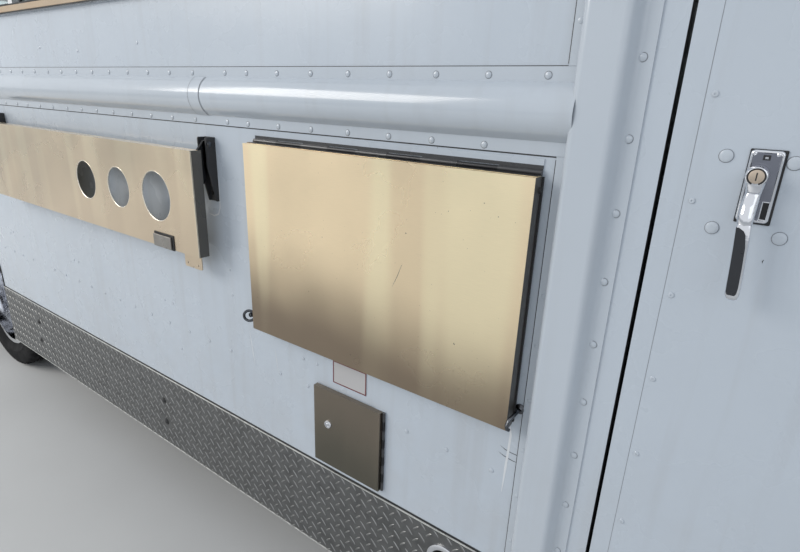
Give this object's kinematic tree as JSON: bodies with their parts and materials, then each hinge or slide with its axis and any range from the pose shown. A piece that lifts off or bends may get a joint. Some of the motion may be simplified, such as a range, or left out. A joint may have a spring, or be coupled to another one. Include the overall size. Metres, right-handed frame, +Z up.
{
  "type": "food truck",
  "caption": "Step-van food truck with a serving window, folding counter shelves, hinged doors, steered front wheels and twin rear wheels.",
  "frame": {"origin": "on the ground under the middle of the vehicle's box", "axes": "+X forward, +Y to the vehicle's left, +Z up; the serving side faces -Y"},
  "size_m": [7.6, 2.88, 3.06],
  "materials": {
    "body_white": "gloss",
    "chassis_black": "satin",
    "cast_steel": "rough",
    "exhaust_steel": "dull",
    "tank_aluminium": "satin",
    "vent_aluminium": "satin",
    "window_aluminium": "satin",
    "tread_plate": "bright",
    "stainless": "brushed",
    "glass": "clear",
    "lamp_lens": "clear",
    "black_plastic": "grained",
    "seat_vinyl": "grained",
    "cab_grey": "grained",
    "wheel_chrome": "polished",
    "chrome": "polished",
    "tyre": "matt"
  },
  "bodies": {
    "root": {"frame_rails": "chassis_black", "cross_members": "chassis_black", "front_axle": "cast_steel", "rear_axle": "cast_steel", "drive_train": "cast_steel", "exhaust": "exhaust_steel", "tanks": "tank_aluminium", "floor_pan": "body_white", "wall_curb": "body_white", "wall_street": "body_white", "rear_wall": "body_white", "roof_shell": "body_white", "front_cowl": "body_white", "fixed_glass": "glass", "belt_and_posts": "body_white", "skirts": "tread_plate", "serving_frame": "window_aluminium", "grille": "black_plastic", "lamps": "lamp_lens", "bumpers": "chassis_black", "mirrors": "black_plastic", "roof_vents": "vent_aluminium", "driver_seat": "seat_vinyl", "dash": "cab_grey", "kitchen": "stainless", "shelf_brackets": "chassis_black"},
    "knuckle_left": {"knuckle_left": "cast_steel"},
    "knuckle_right": {"knuckle_right": "cast_steel"},
    "tie_rod": {"tie_rod": "cast_steel"},
    "wheel_front_left": {"rim_front_left": "wheel_chrome", "tyre_front_left": "tyre"},
    "wheel_front_right": {"rim_front_right": "wheel_chrome", "tyre_front_right": "tyre"},
    "wheels_rear_left": {"rims_rear_left": "wheel_chrome", "tyres_rear_left": "tyre"},
    "wheels_rear_right": {"rims_rear_right": "wheel_chrome", "tyres_rear_right": "tyre"},
    "cab_door_curb": {"cab_door_curb": "body_white", "door_glass_curb": "glass", "door_handle_curb": "chrome"},
    "cab_door_street": {"cab_door_street": "body_white", "door_glass_street": "glass", "door_handle_street": "chrome"},
    "rear_door": {"rear_door": "body_white", "rear_door_glass": "glass", "rear_door_handle": "chrome"},
    "shelf_plain": {"shelf_plain": "stainless"},
    "shelf_cups": {"shelf_cups": "stainless"},
    "fuel_door": {"fuel_door": "stainless"},
    "hood": {"hood": "body_white"},
    "steering_wheel": {"steering_wheel": "black_plastic"}
  },
  "joints": [
    {"name": "steer_left", "type": "hinge", "parent": "root", "child": "knuckle_left", "pos_m": [2.98, 0.861, 0.4], "axis": [0, 0, 1], "range_deg": [-35, 35]},
    {"name": "steer_right", "type": "hinge", "parent": "root", "child": "knuckle_right", "pos_m": [2.98, -0.861, 0.4], "axis": [0, 0, 1], "range_deg": [-35, 35]},
    {"name": "tie_rod_pivot", "type": "hinge", "parent": "knuckle_left", "child": "tie_rod", "pos_m": [2.81, 0.861, 0.3127], "axis": [0, 0, 1], "range_deg": [-35, 35]},
    {"name": "steering_wheel", "type": "hinge", "parent": "root", "child": "steering_wheel", "pos_m": [2.73, 0.62, 1.56], "axis": [-0.788, 0, 0.6157], "range_deg": [-560, 560]},
    {"name": "spin_front_left", "type": "hinge", "parent": "knuckle_left", "child": "wheel_front_left", "pos_m": [2.98, 0.973, 0.4], "axis": [0, 1, 0], "continuous": true},
    {"name": "spin_front_right", "type": "hinge", "parent": "knuckle_right", "child": "wheel_front_right", "pos_m": [2.98, -0.973, 0.4], "axis": [0, 1, 0], "continuous": true},
    {"name": "spin_rear_left", "type": "hinge", "parent": "root", "child": "wheels_rear_left", "pos_m": [-1.85, 0.842, 0.4], "axis": [0, 1, 0], "continuous": true},
    {"name": "spin_rear_right", "type": "hinge", "parent": "root", "child": "wheels_rear_right", "pos_m": [-1.85, -0.842, 0.4], "axis": [0, 1, 0], "continuous": true},
    {"name": "cab_door_curb", "type": "hinge", "parent": "root", "child": "cab_door_curb", "pos_m": [2.3835, -1.188, 1.46], "axis": [0, 0, 1], "range_deg": [0, 80]},
    {"name": "cab_door_street", "type": "hinge", "parent": "root", "child": "cab_door_street", "pos_m": [2.3835, 1.188, 1.46], "axis": [0, 0, -1], "range_deg": [0, 80]},
    {"name": "rear_door", "type": "hinge", "parent": "root", "child": "rear_door", "pos_m": [-3.728, 0.3935, 1.673], "axis": [0, 0, -1], "range_deg": [0, 110]},
    {"name": "shelf_plain", "type": "hinge", "parent": "root", "child": "shelf_plain", "pos_m": [1.049, -1.185, 1.536], "axis": [-1, 0, 0], "range_deg": [0, 90]},
    {"name": "shelf_cups", "type": "hinge", "parent": "root", "child": "shelf_cups", "pos_m": [-0.235, -1.2, 1.514], "axis": [-1, 0, 0], "range_deg": [0, 90]},
    {"name": "fuel_door", "type": "hinge", "parent": "root", "child": "fuel_door", "pos_m": [1.102, -1.184, 0.793], "axis": [0, 0, 1], "range_deg": [0, 110]},
    {"name": "hood", "type": "hinge", "parent": "root", "child": "hood", "pos_m": [3.33552, 0, 1.5189], "axis": [0, -1, 0], "range_deg": [0, 55]}
  ],
  "couplings": [
    {"joint": "steer_right", "follows": "steer_left", "ratio": 1},
    {"joint": "tie_rod_pivot", "follows": "steer_left", "ratio": -1},
    {"joint": "steering_wheel", "follows": "steer_left", "ratio": 16}
  ]
}
